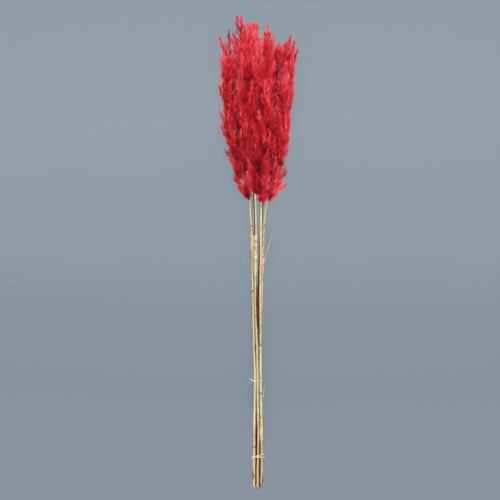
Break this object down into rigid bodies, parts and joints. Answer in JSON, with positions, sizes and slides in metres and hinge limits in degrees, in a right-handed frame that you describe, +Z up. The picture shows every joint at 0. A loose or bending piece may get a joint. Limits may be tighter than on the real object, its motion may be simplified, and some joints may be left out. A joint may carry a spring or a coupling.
{
  "type": "bundle of dyed pampas grass",
  "caption": "Slender tied bundle of dried grass stalks with soft red-dyed plumes at one end, bound with thin twine and lying flat.",
  "frame": {"origin": "middle of the bundle's footprint, on the surface that it lies on", "axes": "+Y along the stalks from the cut ends to the plume tips, +Z up from the surface, +X to the right seen from above with the plumes at the top"},
  "size_m": [0.117, 0.7501, 0.0625],
  "materials": {
    "dyed_plume": "matte",
    "straw_stem": "satin",
    "papery_sheath": "matte",
    "dry_leaf": "matte",
    "twine": "matte"
  },
  "bodies": {
    "root": {"stem_1": "straw_stem", "stem_2": "straw_stem", "stem_3": "straw_stem", "stem_4": "straw_stem", "stem_5": "straw_stem", "stem_6": "straw_stem", "plume_1": "dyed_plume", "plume_2": "dyed_plume", "plume_3": "dyed_plume", "plume_4": "dyed_plume", "plume_5": "dyed_plume", "plume_6": "dyed_plume", "sheath_1": "papery_sheath", "sheath_2": "papery_sheath", "sheath_3": "papery_sheath", "sheath_4": "papery_sheath", "sheath_5": "papery_sheath", "sheath_6": "papery_sheath", "dry_leaf_1": "dry_leaf", "dry_leaf_2": "dry_leaf", "upper_tie": "twine", "lower_tie": "twine"}
  },
  "joints": []
}
